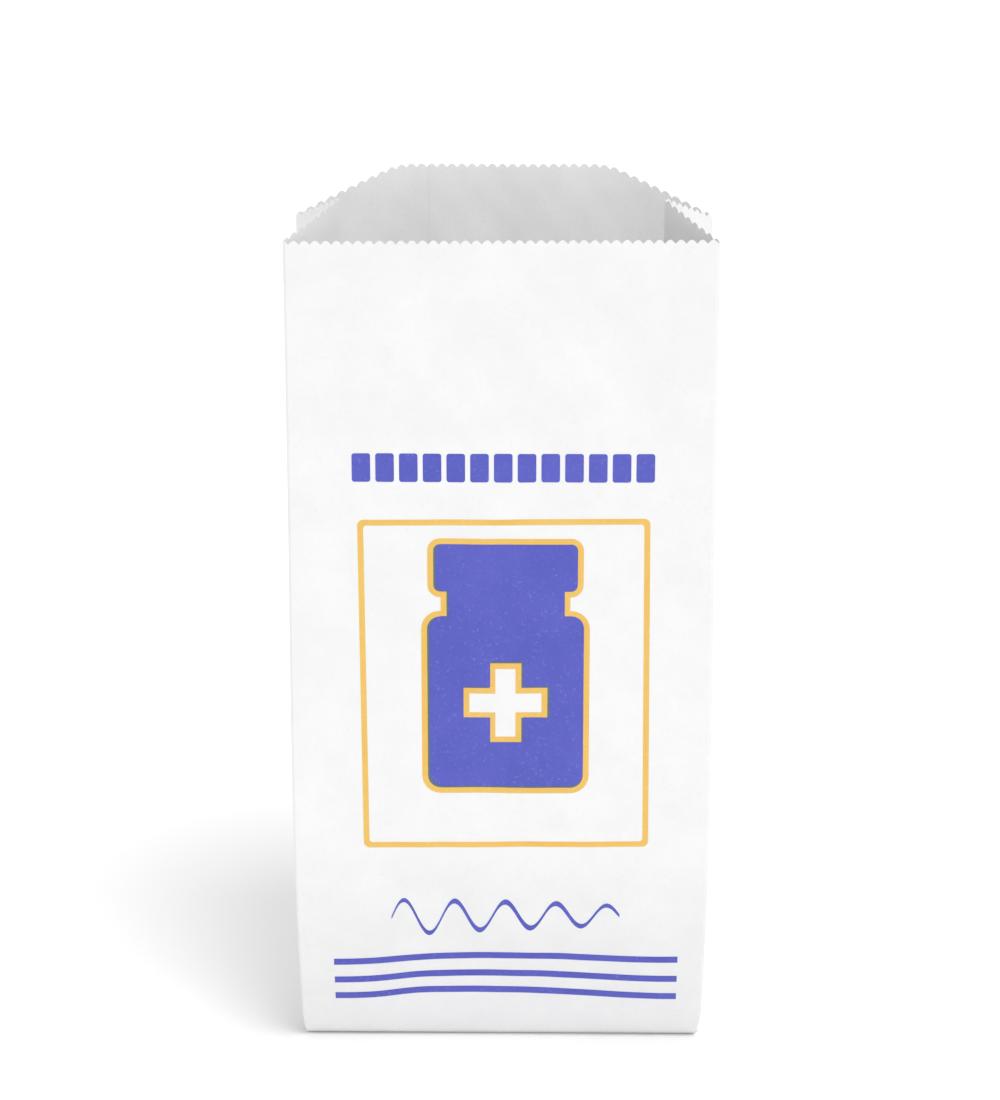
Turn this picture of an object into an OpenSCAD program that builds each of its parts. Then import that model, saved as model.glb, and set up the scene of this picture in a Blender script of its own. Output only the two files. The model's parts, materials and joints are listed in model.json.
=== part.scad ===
// Pharmacy paper bag: a side-gusset, pinch-bottom bag with a pinked top edge and a raised back lip.
// It stands open. The floor is z = 0, the front faces -Y, and the glued bottom seam lies along X at y = 0.
// One folded sheet makes the real bag. Here every panel between two creases is a plate of its own,
// so that the bag folds flat and opens square about its real creases.

/* [Bag] */
// Width of the front and back panels
bag_w = 129; // [100:1:180]
// Width of half a side gusset, from an outer crease to the inner crease
gusset_half = 25.4; // [18:0.1:32]
// Length of the front panel from the bottom fold to the crests of its top edge
bag_l = 270.5; // [200:0.5:340]
// Length of the bottom wedge, from the seam to the lower crease of the front and back panels
wedge_l = 62; // [50:1:75]
// Angle between a half gusset and the front or back panel as the bag stands
open_angle = 52; // [40:1:60]
// Angle that the lower corner of a half gusset has turned about its diagonal crease
corner_angle = 56; // [40:1:60]
// Thickness of a paper plate
paper_t = 0.3; // [0.2:0.05:0.4]

/* [Top edge] */
// Height of the back lip above the front edge
lip_h = 13; // [6:0.5:18]
// Distance from a corner at which the sloping edge starts to level off
shoulder_start = 28; // [24:1:32]
// Distance from a corner at which the lip is level
shoulder_end = 36; // [33:1:42]
// Distance between two teeth
tooth_pitch = 3.175; // [2:0.005:5]
// Depth of a tooth
tooth_depth = 1.2; // [0.6:0.1:2]

/* [Back panel] */
// Place across the bag of the inner ply's edge at the glued lap
lap_x = -21.7; // [-30:0.1:0]
// Width of the glued lap of the back panel
lap_w = 11; // [8:0.5:14]

/* [Bottom] */
// Depth of the glued bottom zone and its turned-over flap
flap_w = 12.7; // [10:0.1:16]
// How far the bottom zone reaches in front of the middle
flap_front = 3; // [2.6:0.1:6]

/* [Print] */
// Height of the middle of the heading above the floor
heading_z = 197.6; // [180:0.1:220]
// Size of the printed frame, width and height
frame_size = [88.8, 107]; // [60:0.1:120]
// Centre of the printed frame, across and above the floor
frame_centre = [1.1, 128]; // [-10:0.1:150]
// Width of the frame's printed line
frame_line = 1.8; // [1:0.1:3]
// Height of the middle of the flourish above the bottom seam, measured along the wedge
flourish_v = 50.3; // [46:0.1:53]
// Heights of the three stripes above the bottom seam at their ends, top stripe first
stripe_v = [30, 22.2, 15.2]; // [10:0.1:38]
// Thickness of a stripe
stripe_t = 2.5; // [1:0.1:3]

/* [Hidden] */
ink_t = 0.06;
glue_t = 0.08;
ply_gap = 0.35;                      // from a crease's axis to the inner face of the panel
fold_in = 0.25;                      // from a crease's axis to the far face of a gusset plate
crease_gap = 0.35;                   // from a crease's axis to the edge of a plate
edge_in = 0.4;                       // from a panel's edge to the crease axis behind it
half_gap = 1;                        // from the middle to the crease axes when the bag is flat
outer_face = ply_gap + paper_t;
bottom_t = 2 * paper_t + glue_t;     // flap, glue and seam layers on the floor
floor_gap = 0.4;                     // from the bottom zone to the wedge panels above it
base_axis_z = bottom_t + floor_gap + outer_face;
axis_x = bag_w / 2 - edge_in;
wedge_angle = asin(gusset_half * sin(open_angle) / wedge_l);
axis_y = half_gap + wedge_l * sin(wedge_angle);
axis_z = base_axis_z + wedge_l * cos(wedge_angle);
panel_l = bag_l - wedge_l - base_axis_z;
plate_z = axis_z + crease_gap;
top_z = axis_z + panel_l;
gusset_clear = 0.5;                  // between a half gusset and the crease line under it
inner_clear = 0.9;                   // from the inner gusset crease to the edge of each half
corner_trim = 3.4;                   // cut from the top of a lower gusset corner, which rises as it folds
seam_trim = 2;                       // cut from its point at the seam
tuck_trim = 1;                       // cut from the tuck beside it, along the seam

paper_white = [0.96, 0.96, 0.96];
paper_shade = [0.90, 0.90, 0.91];
ink_blue = [0.35, 0.37, 0.75];
ink_yellow = [0.95, 0.75, 0.35];
ink_dark = [0.40, 0.48, 0.46];
glue_clear = [0.88, 0.86, 0.78];

// ---------- outlines ----------

// Rise of the sloping edge at a distance s from a corner of the flat bag.
rise_slope = 2 * lip_h / (shoulder_start + shoulder_end);
function rise(s) =
    s < shoulder_start ? rise_slope * s :
    s < shoulder_end ? rise_slope * (s - pow(s - shoulder_start, 2) / (2 * (shoulder_end - shoulder_start))) :
    lip_h;

// Pinked edge from x0 to x1: crests on the line `top`, valleys a tooth's depth below it.
function pinked(x0, x1, top, rises, corner) =
    let (steps = floor((x1 - x0) / (tooth_pitch / 2)), step = (x1 - x0) / steps)
    [for (i = [0:steps])
        let (x = x0 + i * step)
        [x, top + (rises ? rise(corner - abs(x)) : 0) - (i % 2) * tooth_depth]];

module pinked_sheet(x0, x1, z0, top, rises = false, corner = 0)
    polygon(concat([[x1, z0], [x0, z0]], pinked(x0, x1, top, rises, corner)));

module round_rect(w, h, r) {
    square([w, h - 2 * r], center = true);
    square([w - 2 * r, h], center = true);
    for (sx = [-1, 1], sy = [-1, 1])
        translate([sx * (w / 2 - r), sy * (h / 2 - r)]) circle(r, $fn = 32);
}

// ---------- placing ----------

// Stands a flat outline up in the XZ plane, its outer face at y, t thick towards -Y.
module upright(y, t) translate([0, y, 0]) rotate([90, 0, 0]) linear_extrude(t) children();

module back_side() mirror([0, 1, 0]) children();
module right_side() mirror([1, 0, 0]) children();

// ---------- panels ----------

// The frame of the front wedge panel: seam along X at z = 0, panel up along Z, inside towards +Y.
module on_wedge() translate([0, -half_gap, base_axis_z]) rotate([wedge_angle, 0, 0]) children();

module bottom_wedge()
    on_wedge() upright(-ply_gap, paper_t)
        translate([-bag_w / 2, crease_gap]) square([bag_w, wedge_l - 2 * crease_gap]);

// The lower gusset between the seam, the outer crease and a diagonal stays flat on the wedge panel.
module corner_tuck()
    on_wedge() translate([-axis_x, 0, 0]) upright(paper_t / 2, paper_t)
        polygon([[0, crease_gap], [gusset_half - tuck_trim, crease_gap], [0, wedge_l - 2 * tuck_trim]]);

// The rest of the lower gusset turns about that diagonal as the bag opens.
diagonal_tilt = atan(gusset_half / wedge_l);
diagonal_l = norm([gusset_half, wedge_l]);
module lower_gusset()
    on_wedge() translate([gusset_half - axis_x, 0, 0]) rotate([0, -diagonal_tilt, 0])
        rotate([0, 0, corner_angle]) rotate([0, diagonal_tilt, 0]) upright(fold_in, paper_t)
            intersection() {
                translate([-gusset_half, seam_trim])
                    square([gusset_half - inner_clear, wedge_l - seam_trim - corner_trim]);
                rotate(diagonal_tilt) translate([crease_gap, 0]) square([gusset_half, diagonal_l]);
            }

// Half a side gusset, hinged on the front panel's left crease.
module half_gusset() {
    reach = gusset_half - inner_clear;
    translate([-axis_x, -axis_y, 0]) rotate([0, 0, open_angle])
        upright(fold_in, paper_t)
            polygon(concat(
                [[reach, axis_z + gusset_clear], [crease_gap, axis_z + gusset_clear]],
                [for (p = pinked(crease_gap, reach, top_z, false, 0)) [p[0], p[1] + rise(p[0])]]));
}

module back_plate(x0, x1, y)
    upright(y + paper_t, paper_t) pinked_sheet(x0, x1, plate_z, top_z, true, bag_w / 2);

// ---------- bottom ----------

module floor_layer(z, t) translate([-bag_w / 2, -flap_front, z]) cube([bag_w, flap_w, t]);

module bottom_fold_flap() color(paper_shade) floor_layer(0, paper_t);
module bottom_glue() color(glue_clear) floor_layer(paper_t, glue_t);
module bottom_seam() color(paper_white) floor_layer(paper_t + glue_t, paper_t);

module front_bottom_wedge() color(paper_white) bottom_wedge();
module front_left_corner_tuck() color(paper_shade) corner_tuck();
module front_right_corner_tuck() color(paper_shade) right_side() corner_tuck();
module front_left_lower_gusset() color(paper_shade) lower_gusset();
module front_right_lower_gusset() color(paper_shade) right_side() lower_gusset();
module back_bottom_wedge() color(paper_white) back_side() bottom_wedge();
module back_left_corner_tuck() color(paper_shade) back_side() corner_tuck();
module back_right_corner_tuck() color(paper_shade) back_side() right_side() corner_tuck();
module back_left_lower_gusset() color(paper_shade) back_side() lower_gusset();
module back_right_lower_gusset() color(paper_shade) back_side() right_side() lower_gusset();

// ---------- walls ----------

module front_panel() color(paper_white)
    upright(-axis_y - ply_gap, paper_t) pinked_sheet(-bag_w / 2, bag_w / 2, plate_z, top_z);

module front_left_gusset() color(paper_shade) half_gusset();
module front_right_gusset() color(paper_shade) right_side() half_gusset();
module back_left_gusset() color(paper_shade) back_side() half_gusset();
module back_right_gusset() color(paper_shade) back_side() right_side() half_gusset();

back_y = axis_y + ply_gap;
module back_panel_right() color(paper_white) back_plate(lap_x, bag_w / 2, back_y);
module back_panel_left() color(paper_white)
    back_plate(-bag_w / 2, lap_x + lap_w, back_y + paper_t + glue_t);
glue_margin = 1;                     // from the paste to the edges of the lap
glue_short = 5;                      // from the paste to the top edge
module back_seam_glue() color(glue_clear)
    translate([lap_x + glue_margin, back_y + paper_t, plate_z])
        cube([lap_w - 2 * glue_margin, glue_t, panel_l - glue_short]);

// ---------- print ----------

module ink(tint) color(tint) upright(-axis_y - outer_face, ink_t) children();
module wedge_ink(tint) color(tint) on_wedge() upright(-outer_face, ink_t) children();

heading_blocks = 13;
heading_pitch = 7.15;
heading_x = 0.6;
block_size = [5.6, 8.9];
block_r = 0.8;
module print_heading() ink(ink_blue)
    for (i = [0:heading_blocks - 1])
        translate([(i - (heading_blocks - 1) / 2) * heading_pitch + heading_x, heading_z])
            round_rect(block_size[0], block_size[1], block_r);

frame_tilt = 0.4;
frame_r = [1.9, 1];                  // outer and inner corner radius

module print_frame() ink(ink_yellow)
    translate(frame_centre) rotate(frame_tilt) difference() {
        round_rect(frame_size[0], frame_size[1], frame_r[0]);
        round_rect(frame_size[0] - 2 * frame_line, frame_size[1] - 2 * frame_line, frame_r[1]);
    }

// A plain pill bottle, grown by g on every side.
bottle_x = 1.3;
bottle_z = 94.6;
bottle_body = [48, 56];
bottle_neck = [36, 8];
bottle_cap = [44, 15];
bottle_r = [4, 2];                   // corner radius of the body and of the cap
module bottle(g) translate([bottle_x, bottle_z]) {
    body_top = bottle_body[1] + bottle_neck[1];
    translate([0, bottle_body[1] / 2])
        round_rect(bottle_body[0] + 2 * g, bottle_body[1] + 2 * g, bottle_r[0] + g);
    translate([0, bottle_body[1] + bottle_neck[1] / 2]) square(bottle_neck + [2 * g, 2], center = true);
    translate([0, body_top + bottle_cap[1] / 2])
        round_rect(bottle_cap[0] + 2 * g, bottle_cap[1] + 2 * g, bottle_r[1] + g);
}

// The blank plus sign left open on the bottle, grown by g on every side.
plus_size = [24, 8];
module plus(g) translate([bottle_x, bottle_z + bottle_body[1] / 2]) {
    square(plus_size + [2 * g, 2 * g], center = true);
    square([plus_size[1] + 2 * g, plus_size[0] + 2 * g], center = true);
}

outline_w = 1.8;
overprint_shift = [0.7, 0.5];
module bottle_blue() difference() { bottle(0); plus(outline_w / 2); }

module print_bottle_outline() ink(ink_yellow) {
    difference() { bottle(outline_w); bottle(0); }
    difference() { plus(outline_w / 2); plus(-outline_w / 2); }
}
module print_bottle_fill() ink(ink_blue)
    intersection() { bottle_blue(); translate(overprint_shift) bottle_blue(); }
module print_bottle_overprint() ink(ink_dark)
    difference() { bottle_blue(); translate(overprint_shift) bottle_blue(); }

// A pen-like wave: two humps high at the left, then low ones, thick on the way down.
flourish_w = 72;
flourish_waves = 4.5;
flourish_steps = 96;
flourish_x = 1.3;
function flourish_mid(u) = 6.8 * sin(360 * flourish_waves * u) * (1 - 0.45 * u) + 1.2 * u;
function flourish_half(u) =
    0.6 + 0.7 * pow(sin(180 * u), 0.5) * (0.6 - 0.4 * cos(360 * flourish_waves * u));
module print_flourish() wedge_ink(ink_blue) translate([flourish_x - flourish_w / 2, flourish_v])
    polygon(concat(
        [for (i = [0:flourish_steps]) let (u = i / flourish_steps)
            [u * flourish_w, flourish_mid(u) + flourish_half(u)]],
        [for (i = [flourish_steps:-1:0]) let (u = i / flourish_steps)
            [u * flourish_w, flourish_mid(u) - flourish_half(u)]]));

stripe_half = 54.8;
stripe_rise = 2.5;
stripe_steps = 16;
stripe_x = 1.3;
function stripe_mid(u) = stripe_rise * cos(90 * u) + 0.35 * u;
module stripe(v) wedge_ink(ink_blue) translate([stripe_x, v])
    polygon(concat(
        [for (i = [-stripe_steps:stripe_steps]) let (u = i / stripe_steps)
            [u * stripe_half, stripe_mid(u) + stripe_t / 2]],
        [for (i = [stripe_steps:-1:-stripe_steps]) let (u = i / stripe_steps)
            [u * stripe_half, stripe_mid(u) - stripe_t / 2]]));
module print_stripe_top() stripe(stripe_v[0]);
module print_stripe_middle() stripe(stripe_v[1]);
module print_stripe_bottom() stripe(stripe_v[2]);

bottom_seam();
bottom_fold_flap();
bottom_glue();
front_bottom_wedge();
front_left_corner_tuck();
front_right_corner_tuck();
front_left_lower_gusset();
front_right_lower_gusset();
front_panel();
front_left_gusset();
front_right_gusset();
back_bottom_wedge();
back_left_corner_tuck();
back_right_corner_tuck();
back_left_lower_gusset();
back_right_lower_gusset();
back_panel_left();
back_panel_right();
back_seam_glue();
back_left_gusset();
back_right_gusset();
print_heading();
print_frame();
print_bottle_outline();
print_bottle_fill();
print_bottle_overprint();
print_flourish();
print_stripe_top();
print_stripe_middle();
print_stripe_bottom();
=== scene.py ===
"""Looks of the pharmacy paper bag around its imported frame. Lengths are millimetres until a mesh is made."""
import json
import math

import bmesh
import bpy
import numpy as np
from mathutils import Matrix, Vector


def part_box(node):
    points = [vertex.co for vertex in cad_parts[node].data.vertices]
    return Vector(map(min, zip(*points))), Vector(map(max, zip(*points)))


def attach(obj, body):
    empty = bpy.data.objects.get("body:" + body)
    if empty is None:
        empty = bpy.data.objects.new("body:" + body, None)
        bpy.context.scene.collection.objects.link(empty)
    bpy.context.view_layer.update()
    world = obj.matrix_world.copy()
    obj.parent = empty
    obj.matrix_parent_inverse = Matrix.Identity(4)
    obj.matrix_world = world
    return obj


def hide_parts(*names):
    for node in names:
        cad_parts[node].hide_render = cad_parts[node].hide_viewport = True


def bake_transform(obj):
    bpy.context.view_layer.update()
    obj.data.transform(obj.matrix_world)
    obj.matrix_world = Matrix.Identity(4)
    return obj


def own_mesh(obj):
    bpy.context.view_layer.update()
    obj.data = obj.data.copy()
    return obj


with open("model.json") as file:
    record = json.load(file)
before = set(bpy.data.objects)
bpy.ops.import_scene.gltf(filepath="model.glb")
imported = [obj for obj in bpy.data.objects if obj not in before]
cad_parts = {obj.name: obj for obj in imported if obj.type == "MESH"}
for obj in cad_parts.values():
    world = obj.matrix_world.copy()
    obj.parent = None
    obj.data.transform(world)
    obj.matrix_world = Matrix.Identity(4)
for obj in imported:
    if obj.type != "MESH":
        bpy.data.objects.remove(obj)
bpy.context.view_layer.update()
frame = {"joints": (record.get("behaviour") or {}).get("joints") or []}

MM = 0.001
PAPER_T = 0.12            # thickness of the sheet
CLEAR = 0.05              # paste between two plies
INK_LOW, INK_HIGH = 0.02, 0.045           # under and upper side of an ink film above the sheet


def box_mm(node):
    low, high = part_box(node)
    return np.array(low) / MM, np.array(high) / MM


def centre_of(node):
    low, high = box_mm(node)
    return (low + high) / 2


panel_low, panel_high = box_mm("front_panel")
HALF_W, TOP = panel_high[0], panel_high[2]
LIP = box_mm("back_panel_right")[1][2] - TOP
LAP_EXTRA = 1.6                           # the inner ply runs on this much further under the outer one
LAP_X = box_mm("back_panel_right")[0][0] - LAP_EXTRA
LAP_END = box_mm("back_panel_left")[1][0]
FOOT_BACK = box_mm("bottom_seam")[1][1]
pivot = {j["name"]: np.array(j["pos_m"]) / MM for j in frame["joints"]}
KNEE = pivot["front_wall_crease"][2]

# ---------- camera, floor and light ----------

CAMERA_AT = (0.0098, -0.9332, 0.4605)
CAMERA_DOWN, CAMERA_LEFT = 17.58, 0.64    # degrees
LENS, SENSOR, FAR = 103.09, 36, 50


def make_camera():
    data = bpy.data.cameras.new("camera")
    data.lens, data.sensor_width, data.clip_end = LENS, SENSOR, FAR
    camera = bpy.data.objects.new("camera", data)
    camera.location = CAMERA_AT
    camera.rotation_euler = (math.radians(90 - CAMERA_DOWN), 0, math.radians(CAMERA_LEFT))
    bpy.context.scene.collection.objects.link(camera)
    bpy.context.scene.camera = camera


def make_light(name, toward, spread, strength):
    """A large far softbox: spread is how wide it looks from the bag, in degrees."""
    data = bpy.data.lights.new(name, "SUN")
    data.angle, data.energy = math.radians(spread), strength
    light = bpy.data.objects.new(name, data)
    light.location = toward
    light.rotation_euler = light.location.to_track_quat("Z", "Y").to_euler()
    bpy.context.scene.collection.objects.link(light)


def make_world(strength):
    world = bpy.data.worlds.new("studio")
    world.use_nodes = True
    background = world.node_tree.nodes["Background"]
    background.inputs["Color"].default_value = (1, 1, 1, 1)
    background.inputs["Strength"].default_value = strength
    bpy.context.scene.world = world


# ---------- materials ----------

ROUGH_SPREAD = 0.06                       # roughness varies this much to either side
SHEEN_LEVEL = 0.25                        # paper and ink shine less than plastic
FELT_HEIGHT = 0.00012                     # metres


def material(name, colours, rough, speck=0.0, bump=0.0, cloud=70.0, grain=900.0):
    """A matt procedural surface: clouds between two colours, fine specks, and a felted bump."""
    mat = bpy.data.materials.new(name)
    mat.use_nodes = True
    nodes, links = mat.node_tree.nodes, mat.node_tree.links
    shader = nodes["Principled BSDF"]
    place = nodes.new("ShaderNodeTexCoord").outputs["Object"]

    def noise(scale, detail, roughness=0.5):
        n = nodes.new("ShaderNodeTexNoise")
        n.inputs["Scale"].default_value = scale
        n.inputs["Detail"].default_value = detail
        n.inputs["Roughness"].default_value = roughness
        links.new(place, n.inputs["Vector"])
        return n.outputs["Fac"]

    def ramp(source, low, high, a, b):
        r = nodes.new("ShaderNodeMapRange")
        for key, value in (("From Min", low), ("From Max", high), ("To Min", a), ("To Max", b)):
            r.inputs[key].default_value = value
        links.new(source, r.inputs["Value"])
        return r.outputs["Result"]

    def mix(factor, a, b):
        m = nodes.new("ShaderNodeMix")
        m.data_type = "RGBA"
        links.new(factor, m.inputs["Factor"])
        for key, value in (("A", a), ("B", b)):
            target = [s for s in m.inputs if s.name == key and s.type == "RGBA"][0]
            if isinstance(value, tuple):
                target.default_value = (*value, 1)
            else:
                links.new(value, target)
        return [s for s in m.outputs if s.type == "RGBA"][0]

    base = mix(ramp(noise(cloud, 4, 0.6), 0.35, 0.65, 0, 1), colours[0], colours[1])
    if speck:
        specks = ramp(noise(grain, 3, 0.7), 0.58, 0.72, 0, speck)
        base = mix(specks, base, colours[2])
    links.new(base, shader.inputs["Base Color"])
    roughness = ramp(noise(grain * 0.5, 3), 0.3, 0.7, rough - ROUGH_SPREAD, rough + ROUGH_SPREAD)
    links.new(roughness, shader.inputs["Roughness"])
    shader.inputs["Specular IOR Level"].default_value = SHEEN_LEVEL
    if bump:
        felt = nodes.new("ShaderNodeBump")
        felt.inputs["Strength"].default_value = bump
        felt.inputs["Distance"].default_value = FELT_HEIGHT
        links.new(noise(grain, 5, 0.65), felt.inputs["Height"])
        links.new(felt.outputs["Normal"], shader.inputs["Normal"])
    return mat


# Colours of the clouds, one and the other, and of the specks.
WHITE = [(0.885, 0.887, 0.89), (0.92, 0.92, 0.92), (0.79, 0.79, 0.80)]
CREAM = [(0.86, 0.84, 0.76), (0.80, 0.78, 0.70)]
BLUE = [(0.115, 0.125, 0.56), (0.100, 0.110, 0.52), (0.25, 0.27, 0.70)]
YELLOW = [(0.88, 0.56, 0.14), (0.85, 0.52, 0.12), (0.92, 0.70, 0.34)]
DARK = [(0.14, 0.20, 0.18), (0.12, 0.17, 0.17), (0.25, 0.28, 0.30)]
GREY = [(0.90, 0.90, 0.90), (0.91, 0.91, 0.91)]

paper = material("paper", WHITE, 0.62, speck=0.35, bump=0.55)
paste = material("paste", CREAM, 0.45, bump=0.3)
blue_ink = material("blue_ink", BLUE, 0.55, speck=0.5, bump=0.4)
yellow_ink = material("yellow_ink", YELLOW, 0.55, speck=0.5, bump=0.4)
dark_ink = material("overprint_ink", DARK, 0.55, speck=0.4, bump=0.4)

# ---------- shape of the sheet ----------

TOOTH, TOOTH_DEPTH = 3.175, 1.2
SHOULDER = (28.0, 36.0)                   # where the back's sloping edge rounds into its level edge
GUSSET_RISE = 0.345                       # slope of the gussets' top edge, along the paper
BACK_IN = {-1: 0.9, 1: 0.2}               # how far the back's top corners stand inside the front's
BACK_LOW = 0.8                            # and how far below them
EDGE_R, EDGE_IN = 0.9, 0.55               # rounding of the paper at a crease
GUSSET = 25.4                             # half gusset, along the paper
INNER_X = 48.9                            # place of the inner gusset creases
BORDER_Z = 90.0                           # between the lower and upper pieces of the back
BOW = 9.8                                 # outward bow of the back panel at its top
COLUMNS_PER_TOOTH = 8
FOOT_IN, FOOT_FADE = {-1: 1.0, 1: 2.0}, 4.5    # how much narrower each side is on the floor
BELLY, BELLY_Z, BELLY_SPREAD = 0.45, 105, 60   # how much wider the bag is at the height BELLY_Z
DISH_HALF = 46.0                          # half width of the front's shallow dish
RIPPLE_HALF, RIPPLE_LOW = 62.0, 30.0      # the ripples fade out at this half width and below this height
SHARP = 35                                # degrees: a sharper edge isn't shaded smooth


def curve(points):
    """A smooth function through (position, value) points."""
    x, y = np.array(points, float).T
    slope = np.gradient(y, x)

    def at(t):
        t = np.clip(t, x[0], x[-1])
        i = np.clip(np.searchsorted(x, t) - 1, 0, len(x) - 2)
        h = x[i + 1] - x[i]
        s = (t - x[i]) / h
        return ((2 * s - 3) * s * s + 1) * y[i] + ((s - 2) * s + 1) * s * h * slope[i] \
            + (3 - 2 * s) * s * s * y[i + 1] + (s - 1) * s * s * h * slope[i + 1]
    return at


# Distance of a side crease from the middle of the bag, by height above the floor.
FOOT_BELLY = [(0, 0.9), (0.3, 1.6), (1, 2.5), (2.5, 3.6), (5, 5.0), (9, 6.6), (16, 9.0), (27, 12.8)]
front_depth = curve(FOOT_BELLY + [(40, 17.0), (52, 20.0), (64, 21.9), (78, 22.5), (110, 22.4), (170, 21.9),
                                  (230, 21.4), (285, 21.0)])
back_depth = curve(FOOT_BELLY + [(40, 17.0), (52, 19.9), (64, 21.5), (78, 22.0), (170, 22.0), (285, 21.6)])
dish = curve([(0, 0), (12, 0.5), (28, 1.6), (45, 1.3), (70, 0.2), (85, 0), (285, 0)])
bow = curve([(0, 0), (BORDER_Z, 0), (120, 0.8), (170, 3.6), (220, 6.6), (TOP + LIP, BOW)])


def half_width(side, z, back=False):
    """Half width of the bag: a little less where it meets the floor, and a little more at its belly."""
    side, z = np.asarray(side), np.asarray(z)
    foot_in = np.where(side < 0, FOOT_IN[-1], FOOT_IN[1]) * np.exp(-z / FOOT_FADE)
    width = HALF_W - foot_in + BELLY * np.exp(-((z - BELLY_Z) / BELLY_SPREAD) ** 2)
    return width - back * np.where(side < 0, BACK_IN[-1], BACK_IN[1]) * np.clip(z / TOP, 0, 1) ** 2


def shoulder(s):
    """Share of the back's rise reached at distance s from an outer crease."""
    start, end = SHOULDER
    s = np.asarray(s, float)
    rounded = s - (s - start) ** 2 / (2 * (end - start))
    return np.where(s < start, s, np.where(s < end, rounded, (start + end) / 2)) * 2 / (start + end)


def teeth(s, phase=0.0):
    """Depth of the pinked edge below its crests."""
    return TOOTH_DEPTH * (1 - np.abs(np.sin(math.pi * (np.asarray(s) / TOOTH + phase))))


def ripple(x, z, seed):
    """The slight waviness of a paper panel, none at its edges."""
    fade = np.clip(1 - (x / RIPPLE_HALF) ** 2, 0, 1) * np.clip(z / RIPPLE_LOW, 0, 1)
    # Height, wavelength across, wavelength up, and phase of each wave.
    waves = [(0.11, 41, 67, 0.0), (0.08, -29, 53, 1.3), (0.05, 19, -33, 2.1), (0.035, 13, 15, 4.0)]
    return fade * sum(a * np.sin(2 * math.pi * (x / lx + z / lz) + p + seed) for a, lx, lz, p in waves)


def crease_round(x, z, back=False):
    """How far a panel's edge turns in towards the middle at a side crease."""
    edge = half_width(np.sign(x), z, back)
    e = np.clip((np.abs(x) - edge + EDGE_R) / EDGE_R, 0, 1)
    return EDGE_IN * (1 - np.sqrt(1 - np.minimum(e, 0.999) ** 2))


def front_y(x, z):
    sag = dish(z) * np.clip(1 - (x / DISH_HALF) ** 2, 0, 1) ** 2
    return -front_depth(z) + sag + crease_round(x, z) + ripple(x, z, 0.0)


def back_y(x, z):
    shape = np.sin(math.pi / 2 * shoulder(HALF_W - np.abs(x)))
    return back_depth(z) + bow(z) * shape - crease_round(x, z, True) + ripple(x, z, 2.6)


# ---------- meshes ----------

def finish_mesh(name, verts, faces, mat):
    mesh = bpy.data.meshes.new(name)
    mesh.from_pydata([tuple(v) for v in np.asarray(verts) * MM], [], faces)
    mesh.validate()
    mesh.materials.append(mat)
    mesh.polygons.foreach_set("use_smooth", [True] * len(mesh.polygons))
    mesh.set_sharp_from_angle(angle=math.radians(SHARP))
    obj = bpy.data.objects.new(name, mesh)
    bpy.context.scene.collection.objects.link(obj)
    return obj


def shell(name, grid, flip=False):
    """A closed paper sheet whose outer face is grid, rows by columns of points. Its outer side is
    columns x rows, or the other one with flip."""
    rows, cols = grid.shape[:2]
    across = np.gradient(grid, axis=1)
    up = np.gradient(grid, axis=0)
    normal = np.cross(across, up) * (-1 if flip else 1)
    normal /= np.linalg.norm(normal, axis=2, keepdims=True)
    verts = np.concatenate([grid.reshape(-1, 3), (grid - normal * PAPER_T).reshape(-1, 3)])
    n = rows * cols
    at = np.arange(n).reshape(rows, cols)
    quads = np.stack([at[:-1, :-1], at[:-1, 1:], at[1:, 1:], at[1:, :-1]], axis=-1).reshape(-1, 4)
    if flip:
        quads = quads[:, ::-1]
    faces = quads.tolist() + (quads[:, ::-1] + n).tolist()
    rim = np.concatenate([at[0], at[1:, -1], at[-1, -2::-1], at[-2:0:-1, 0]])
    if flip:
        rim = rim[::-1]
    for a, b in zip(rim, np.roll(rim, -1)):
        faces.append([int(b), int(a), int(a) + n, int(b) + n])
    return finish_mesh(name, verts, faces, paper)


def film(name, loops, place, low, high, mat, slot, step=(2.4, 2.4)):
    """A thin closed film filling flat loops, holes included, laid on a surface by place(a, b, height)."""
    bm = bmesh.new()
    for loop in loops:
        corners = [bm.verts.new((a, b, 0)) for a, b in loop]
        for i, corner in enumerate(corners):
            bm.edges.new((corners[i - 1], corner))
    bmesh.ops.triangle_fill(bm, use_beauty=True, edges=bm.edges[:])
    co = np.array([v.co for v in bm.verts])
    for axis, size in enumerate(step):
        normal = [0, 0, 0]
        normal[axis] = 1
        for at in np.arange(math.ceil(co[:, axis].min() / size), co[:, axis].max() / size) * size:
            point = [0, 0, 0]
            point[axis] = at
            bmesh.ops.bisect_plane(bm, geom=bm.verts[:] + bm.edges[:] + bm.faces[:], dist=1e-5,
                                   plane_co=point, plane_no=normal)
    bmesh.ops.recalc_face_normals(bm, faces=bm.faces[:])
    bm.verts.index_update()
    co = np.array([v.co for v in bm.verts])
    n = len(co)
    faces = [[v.index for v in f.verts] for f in bm.faces]
    rim = [[l.vert.index, l.link_loop_next.vert.index]
           for f in bm.faces for l in f.loops if l.edge.is_boundary]
    bm.free()
    verts = np.concatenate([place(co[:, 0], co[:, 1], h) for h in (high, low)])
    faces += [[i + n for i in reversed(f)] for f in faces]
    faces += [[b, a, a + n, b + n] for a, b in rim]
    obj = finish_mesh(name, verts, faces, mat)
    turn = bmesh.new()
    turn.from_mesh(obj.data)
    bmesh.ops.recalc_face_normals(turn, faces=turn.faces[:])
    turn.to_mesh(obj.data)
    turn.free()
    return obj


def stack(*parts):
    return np.stack(np.broadcast_arrays(*parts), axis=-1)


# ---------- panels ----------

def columns(x0, x1):
    count = max(2, round((x1 - x0) / TOOTH * COLUMNS_PER_TOOTH))
    return np.linspace(x0, x1, count + 1)


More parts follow.
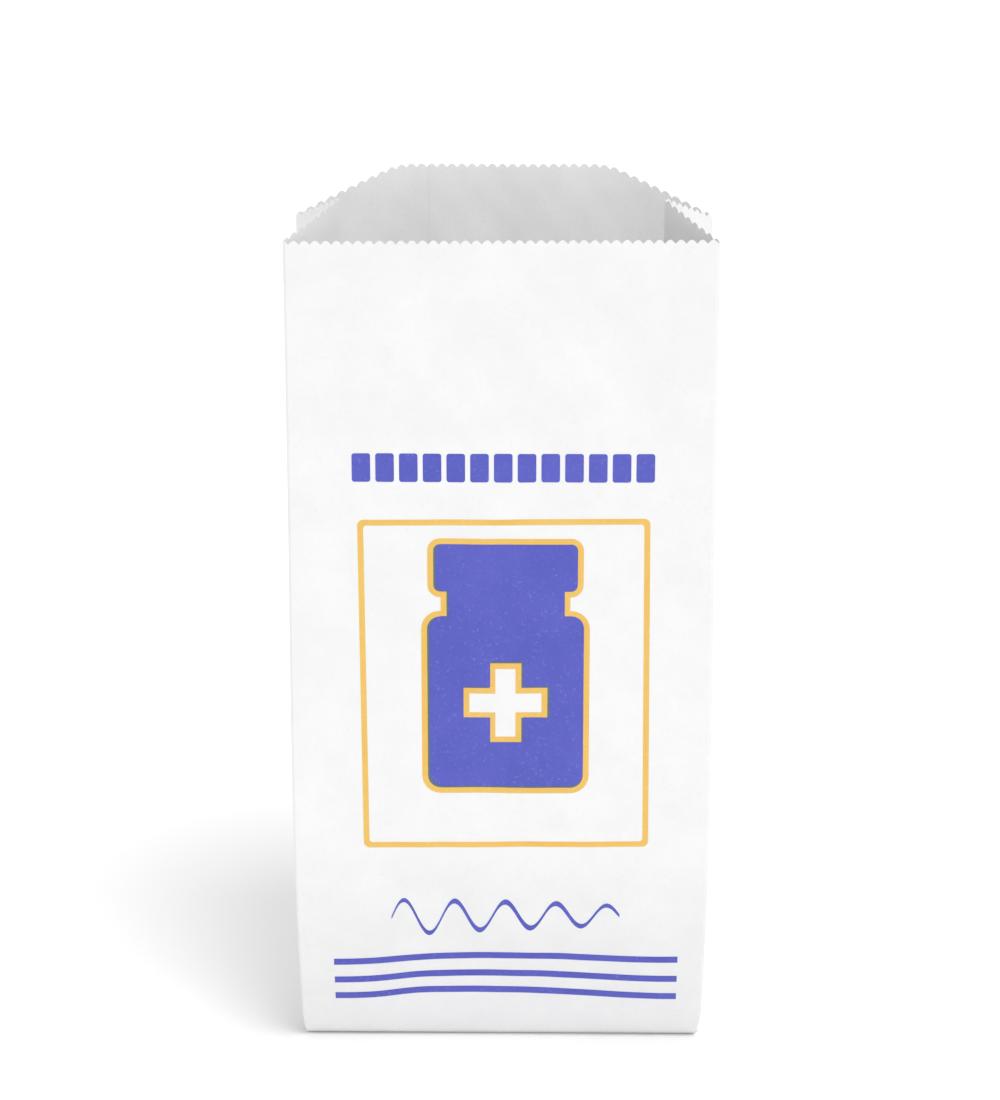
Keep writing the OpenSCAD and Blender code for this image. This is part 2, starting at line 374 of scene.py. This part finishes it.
def panel_grid(x, low, top, rows, surface, back=False):
    """Points of a panel between the height low and its top edge."""
    share = np.linspace(0, 1, rows)[:, None]
    z = low + (top[None, :] - low) * share
    side = np.sign(x)
    across = x / HALF_W * half_width(side[None, :], z, back)
    return stack(across, surface(across, z), z)


FRONT_PHASE, BACK_PHASE, GUSSET_PHASE = 0.5, 0.25, 0.2    # where the teeth start, as a share of a tooth
FRONT_TILT = 0.35                         # the top edge is this much higher at the right
FRONT_BASE, FRONT_ROWS = 0.05, 110
BACK_STEP = 2.6                           # height of a row of the back's mesh


def bend_at_knee(obj):
    """Bake a piece's placement into its mesh."""
    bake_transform(obj)


def flatten_with_fold(obj):
    """Give a piece of the bowed back its own copy of its mesh."""
    back_depth(BORDER_Z) * MM
    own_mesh(obj)


x = columns(-HALF_W, HALF_W)
top = TOP + FRONT_TILT * x / HALF_W - teeth(x + HALF_W, FRONT_PHASE)
front = shell("front_paper", panel_grid(x, FRONT_BASE, top, FRONT_ROWS, front_y))
bend_at_knee(front)
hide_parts("front_panel", "front_bottom_wedge")


def back_piece(name, x0, x1, lift, low, high):
    """Part of the back: from the height low to high, or to the pinked edge where high is None."""
    x = columns(x0, x1)
    if high is None:
        rise = (LIP + BACK_LOW) * shoulder(HALF_W - np.abs(x))
        top = TOP - BACK_LOW + rise - teeth(x + HALF_W, BACK_PHASE)
    else:
        top = np.full(len(x), high)
    rows = int((top.max() - low) / BACK_STEP)
    return shell(name, panel_grid(x, low, top, rows, lambda a, b: back_y(a, b) + lift, True), flip=True)


OUTER_PLY = PAPER_T + CLEAR
FOOT_TOP = 0.76                           # the back and the gussets start on the bottom fold
for name, x0, x1, lift, node in (
        ("back_paper_right", LAP_X, HALF_W, 0.0, "back_panel_right"),
        ("back_paper_left", -HALF_W, LAP_END, OUTER_PLY, "back_panel_left")):
    lower = back_piece(name + "_lower", x0, x1, lift, FOOT_TOP, BORDER_Z)
    bend_at_knee(lower)
    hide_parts("back_bottom_wedge")
    upper = back_piece(name, x0, x1, lift, BORDER_Z, None)
    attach(upper, "back_wall")
    flatten_with_fold(upper)
    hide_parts(node)


# ---------- gussets ----------

GUSSET_SAG = -0.35                        # bulge of an upper half gusset: below zero it is toward its panel
SAG_TOWARD = (0.8, 0.6)                   # its direction, square to the half gusset
SAG_RISE = 60.0                           # height above the knee over which the bulge grows
SEAM_X = HALF_W - GUSSET                  # place of the inner crease at the bottom seam
MEET = 0.03                               # from the middle to each half's inner edge
EDGE_GAP, EDGE_OUT = 0.13, 0.02           # a gusset's outer edge against the panel's rounded edge
UPPER_ROWS, LOWER_ROWS, LOWER_COLUMNS = 84, 34, 13
BELOW_KNEE = 1                            # the upper gusset starts this much below the knee
FOLD_MARGIN = 0.03                        # the diagonal fold stays this share of the width off the edges
FOLD_GAP = 0.05                           # and this far inside the panel


def outer_crease(side, face, z):
    """Where a gusset starts, just inside the panel's rounded edge."""
    depth = front_depth(z) if face < 0 else back_depth(z)
    return side * (half_width(side, z, face > 0) - EDGE_GAP), face * (depth - EDGE_IN + EDGE_OUT)


def upper_gusset(side, face, body):
    """Half gusset from the knee to its pinked edge."""
    count = round(GUSSET / TOOTH * COLUMNS_PER_TOOTH)
    u = np.linspace(0, 1, count + 1)[None, :]
    share = np.linspace(0, 1, UPPER_ROWS)[:, None]
    low_corner = 0 if face < 0 else BACK_LOW * (1 - u)
    top = TOP - low_corner + GUSSET_RISE * GUSSET * u - teeth(u * GUSSET, GUSSET_PHASE)
    z = (KNEE - BELOW_KNEE) + (top - KNEE + BELOW_KNEE) * share
    ax, ay = outer_crease(side, face, z)
    gx, gy = side * INNER_X, face * MEET
    sag = GUSSET_SAG * np.sin(math.pi * u) * np.clip((z - KNEE) / SAG_RISE, 0, 1)
    x = ax + (gx - ax) * u + side * sag * SAG_TOWARD[0]
    y = ay + (gy - ay) * u - face * sag * SAG_TOWARD[1]
    grid = stack(x, y, z)
    obj = shell(body + "_gusset_paper", grid, flip=side * face > 0)
    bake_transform(obj)
    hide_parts(f"{body}_gusset")


def lower_gusset(side, face, body):
    """Half gusset below the knee. Its diagonal fold parts the paper on the panel from the paper turned in."""
    z = np.linspace(FOOT_TOP, KNEE, LOWER_ROWS)[:, None]
    fold = np.clip(1 - z / KNEE, FOLD_MARGIN, 1 - FOLD_MARGIN)
    ax, ay = outer_crease(side, face, z)
    px, py = ax - side * fold * GUSSET, ay - face * FOLD_GAP
    gx, gy = side * (SEAM_X + (INNER_X - SEAM_X) * z / KNEE), face * MEET
    t = np.linspace(0, 1, LOWER_COLUMNS)[None, :]
    near = stack(ax + (px - ax) * t, ay + (py - ay) * t, z + 0 * t)
    far = stack(px + (gx - px) * t, py + (gy - py) * t, z + 0 * t)
    grid = np.concatenate([near, far[:, 1:]], axis=1)
    obj = shell(body + "_lower_gusset_paper", grid, flip=side * face > 0)
    low_point, high_point = pivot[f"{body}_diagonal"], pivot[f"{body}_crease"]
    along = (high_point - low_point) / np.linalg.norm(high_point - low_point)
    across = np.array([-side, 0, 0]) - along * np.dot([-side, 0, 0], along)
    across /= np.linalg.norm(across)
    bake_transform(obj)
    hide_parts(f"{body}_lower_gusset", f"{body}_corner_tuck")


for face, face_name in ((-1, "front"), (1, "back")):
    for side, side_name in ((-1, "left"), (1, "right")):
        body = f"{face_name}_{side_name}"
        upper_gusset(side, face, body)
        lower_gusset(side, face, body)

# ---------- bottom ----------

NOSE_Y, NOSE_R, FLOOR_GAP = -0.75, 0.27, 0.04    # the round front edge of the turned-over bottom
FOOT_SIDE_GAP = 0.3                       # the bottom ends this far inside the bag's sides
FOOT_ENDS = (0.1, 0.5)                    # and its upper and lower ply this far short of the seam's back edge
CORNER_IN, CORNER_LONG = 1.6, 2.5         # its front corners are rounded off by this much, over this length
NOSE_POINTS, FLAT_POINTS, FOOT_COLUMNS = 9, 9, 61
nose = np.radians(np.linspace(90, 270, NOSE_POINTS))
top_z, low_z = FLOOR_GAP + 2 * NOSE_R, FLOOR_GAP
path = np.array([(y, top_z) for y in np.linspace(FOOT_BACK - FOOT_ENDS[0], NOSE_Y, FLAT_POINTS)[:-1]]
                + [(NOSE_Y + NOSE_R * math.cos(a), FLOOR_GAP + NOSE_R + NOSE_R * math.sin(a)) for a in nose]
                + [(y, low_z) for y in np.linspace(NOSE_Y, FOOT_BACK - FOOT_ENDS[1], FLAT_POINTS)[1:]])
across = np.linspace(-1, 1, FOOT_COLUMNS)[None, :]
round_in = CORNER_IN * np.clip(1 - (path[:, :1] - NOSE_Y + NOSE_R) / CORNER_LONG, 0, 1) ** 2
reach = HALF_W - FOOT_SIDE_GAP - round_in
along, up = path[:, :1] + 0 * across, path[:, 1:] + 0 * across
foot = shell("bottom_fold", stack(across * reach, along, up), flip=True)
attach(foot, "bottom")
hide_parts("bottom_seam", "bottom_fold_flap")


def wavy_strip(x0, x1, b0, b1, step, wave):
    """A strip whose long edges wander a little, as spread paste does."""
    n = max(4, int((b1 - b0) / step))
    b = np.linspace(b0, b1, n)
    left = x0 + wave * np.sin(b * 0.31) * np.sin(b * 0.083)
    right = x1 + wave * np.sin(b * 0.27 + 1)
    return [*zip(left, b), *zip(right[::-1], b[::-1])]


PASTE_IN, PASTE_END, LAP_PASTE_DOWN = 1.2, 3, 6    # bare paper beside, at the ends of and above the paste
FOOT_PASTE_Y = 0.8                        # where the foot's paste starts, behind the turned edge
FOOT_PASTE_T, LAP_PASTE_T = (0.01, 0.20), (0.01, 0.04)    # both faces of each paste line
foot_strip = wavy_strip(FOOT_PASTE_Y, FOOT_BACK - PASTE_IN, -HALF_W + PASTE_END, HALF_W - PASTE_END,
                        step=3, wave=0.5)
foot_paste = film(
    "bottom_paste", [[(a, b) for b, a in foot_strip]],
    lambda a, b, h: stack(a, b, top_z - PAPER_T - h), *FOOT_PASTE_T, paste, "adhesive")
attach(foot_paste, "bottom")
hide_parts("bottom_glue")

lap_strip = wavy_strip(LAP_X + PASTE_IN, LAP_END - PASTE_IN, BORDER_Z, TOP + LIP - LAP_PASTE_DOWN,
                       step=4, wave=0.4)
lap_paste = film(
    "back_lap_paste", [lap_strip],
    lambda a, b, h: stack(a, back_y(a, b) + h, b), *LAP_PASTE_T, paste, "adhesive")
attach(lap_paste, "back_wall")
flatten_with_fold(lap_paste)
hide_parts("back_seam_glue")

# ---------- print ----------

ARC_STEP, ARC_POINTS = 15, 7              # a quarter circle in steps of so many degrees


def on_front(a, b, h):
    return stack(a, front_y(a, b) - h, b)


def round_rect(cx, cz, w, h, r, tilt=0.0):
    """A rectangle with rounded corners, turned by tilt degrees about its centre."""
    corners = [(1, -1, -90), (1, 1, 0), (-1, 1, 90), (-1, -1, 180)]
    c, s = math.cos(math.radians(tilt)), math.sin(math.radians(tilt))
    loop = []
    for sx, sz, first in corners:
        for k in range(ARC_POINTS):
            angle = math.radians(first + ARC_STEP * k)
            a = sx * (w / 2 - r) + r * math.cos(angle)
            b = sz * (h / 2 - r) + r * math.sin(angle)
            loop.append((cx + a * c - b * s, cz + a * s + b * c))
    return loop


def printed(name, loops, mat, slot, rides, lift=0.0):
    obj = film(name + "_film", loops, on_front, INK_LOW + lift, INK_HIGH + lift, mat, slot)
    if rides == "knee":
        bend_at_knee(obj)
    else:
        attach(obj, rides)
    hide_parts(name)


BLOCKS, BLOCK_PITCH, BLOCK_SIZE, BLOCK_R = 13, 7.15, (5.6, 8.9), 0.8
hx, _, hz = centre_of("print_heading")
printed("print_heading", [
    round_rect(hx + (i - (BLOCKS - 1) / 2) * BLOCK_PITCH, hz, *BLOCK_SIZE, BLOCK_R) for i in range(BLOCKS)],
    blue_ink, "blue_ink", "front_wall")

FRAME_SIZE, FRAME_LINE, FRAME_TILT = (88.8, 107.0), 1.8, 0.4
FRAME_R = (1.9, 1.0)                      # outer and inner corner
frame_inside = [size - 2 * FRAME_LINE for size in FRAME_SIZE]
fx, _, fz = centre_of("print_frame")
printed("print_frame", [
    round_rect(fx, fz, *FRAME_SIZE, FRAME_R[0], FRAME_TILT),
    round_rect(fx, fz, *frame_inside, FRAME_R[1], FRAME_TILT)],
    yellow_ink, "yellow_ink", "front_wall")

BODY, NECK, CAP, CORNERS = (48, 56), (36, 8), (44, 15), (4, 2)
OUTLINE = 1.8
PLUS = (24, 8)
SHIFT = (0.7, 0.5)                        # the blue plate's misfit over the yellow one
bottle_low, bottle_high = box_mm("print_bottle_outline")
bottle_x, bottle_z = (bottle_low[0] + bottle_high[0]) / 2, bottle_low[2] + OUTLINE


def bottle(g):
    """Outline of the pill bottle, grown by g."""
    def arc(cx, cz, r, first):
        turns = [math.radians(first + ARC_STEP * k) for k in range(ARC_POINTS)]
        return [(cx + r * math.cos(t), cz + r * math.sin(t)) for t in turns]
    body_r, cap_r = CORNERS[0] + g, CORNERS[1] + g
    body_x, cap_x = BODY[0] / 2 + g - body_r, CAP[0] / 2 + g - cap_r
    neck_x, cap_z = NECK[0] / 2 + g, BODY[1] + NECK[1]
    right = arc(body_x, body_r - g, body_r, -90) + arc(body_x, BODY[1] + g - body_r, body_r, 0)
    right += [(neck_x, BODY[1] + g), (neck_x, cap_z - g)]
    right += arc(cap_x, cap_z - g + cap_r, cap_r, -90) + arc(cap_x, cap_z + CAP[1] + g - cap_r, cap_r, 0)
    return [(bottle_x + a, bottle_z + b) for a, b in right + [(-a, b) for a, b in reversed(right)]]


def plus(g):
    """Outline of the plus sign, grown by g."""
    a, b = PLUS[0] / 2 + g, PLUS[1] / 2 + g
    quarter = [(a, -b), (a, b), (b, b), (b, a)]
    whole = quarter + [(-b, a), (-b, b), (-a, b), (-a, -b), (-b, -b), (-b, -a), (b, -a), (b, -b)]
    return [(bottle_x + p, bottle_z + BODY[1] / 2 + q) for p, q in whole]


def slipped(loop, from_low):
    """The loop with one pair of its sides moved by the misfit: left and bottom, or right and top."""
    p = np.array(loop)
    low, high = p.min(0), p.max(0)
    share = (p - low) / (high - low) if from_low else (high - p) / (high - low)
    return (p + share * SHIFT).tolist()


bare, hole = bottle(0), plus(OUTLINE / 2)
printed("print_bottle_outline", [bottle(OUTLINE), bare, hole, plus(-OUTLINE / 2)],
        yellow_ink, "yellow_ink", "front_wall")
printed("print_bottle_overprint", [bare, hole], dark_ink, "overprint_ink", "front_wall")
printed("print_bottle_fill", [slipped(bare, False), slipped(hole, True)], blue_ink, "blue_ink", "front_wall",
        lift=INK_HIGH)

WAVES, FLOURISH_W, FLOURISH_STEPS = 4.5, 72.0, 96
WAVE_H, WAVE_FADE, WAVE_LEAN = 6.8, 0.45, 1.2    # height, its loss along the line, and the line's rise
PEN_THIN, PEN_THICK = 0.6, 0.7            # half width of the thinnest stroke, and what pressing adds
low, high = box_mm("print_flourish")
u = np.linspace(0, 1, FLOURISH_STEPS + 1)
turn = 2 * math.pi * WAVES * u
mid = WAVE_H * np.sin(turn) * (1 - WAVE_FADE * u) + WAVE_LEAN * u
half = PEN_THIN + PEN_THICK * np.sqrt(np.maximum(np.sin(math.pi * u), 0)) * (0.6 - 0.4 * np.cos(turn))
base = high[2] - (mid + half).max()
wave_x = low[0] + u * FLOURISH_W
printed("print_flourish", [[*zip(wave_x, base + mid + half), *zip(wave_x[::-1], (base + mid - half)[::-1])]],
        blue_ink, "blue_ink", "knee")

STRIPE_HALF, STRIPE_T = 54.8, 2.5
RAISE = 1.5                               # the rounded foot carries the stripes this much higher
# How much higher each stripe is at its right end, and how strongly it arches.
stripes = {"print_stripe_top": (1.55, 0.75), "print_stripe_middle": (0.97, 1.0),
           "print_stripe_bottom": (0.29, 1.15)}
arch = curve([(-1, 0), (-0.9, 0.02), (-0.8, 0.25), (-0.5, 1.95), (-0.3, 2.05), (0, 1.85), (0.33, 1.45),
              (0.77, 0.25), (0.9, 0.02), (1, 0)])
u = np.linspace(-1, 1, 61)
for node, (lean, bend) in stripes.items():
    cx, _, _ = centre_of(node)
    low, high = box_mm(node)
    mid = low[2] + RAISE + STRIPE_T / 2 + bend * arch(u) + lean * (u + 1) / 2
    printed(node, [[*zip(cx + u * STRIPE_HALF, mid + STRIPE_T / 2),
                    *zip((cx + u * STRIPE_HALF)[::-1], (mid - STRIPE_T / 2)[::-1])]],
            blue_ink, "blue_ink", "front_bottom")

# ---------- studio ----------

FLOOR_HALF = 12.0
floor_mesh = bpy.data.meshes.new("floor")
floor_mesh.from_pydata([(-FLOOR_HALF, -FLOOR_HALF, 0), (FLOOR_HALF, -FLOOR_HALF, 0),
                        (FLOOR_HALF, FLOOR_HALF, 0), (-FLOOR_HALF, FLOOR_HALF, 0)], [], [(0, 1, 2, 3)])
floor = bpy.data.objects.new("floor", floor_mesh)
floor_mesh.materials.append(material("floor", GREY, 0.8, cloud=2.0))
bpy.context.scene.collection.objects.link(floor)

make_camera()
make_world(strength=0.60)
make_light("key", (0.24, -0.43, 0.87), spread=24, strength=1.45)
make_light("overhead", (0.05, 0.10, 1.0), spread=45, strength=0.65)
bpy.context.scene.view_settings.view_transform = "Standard"
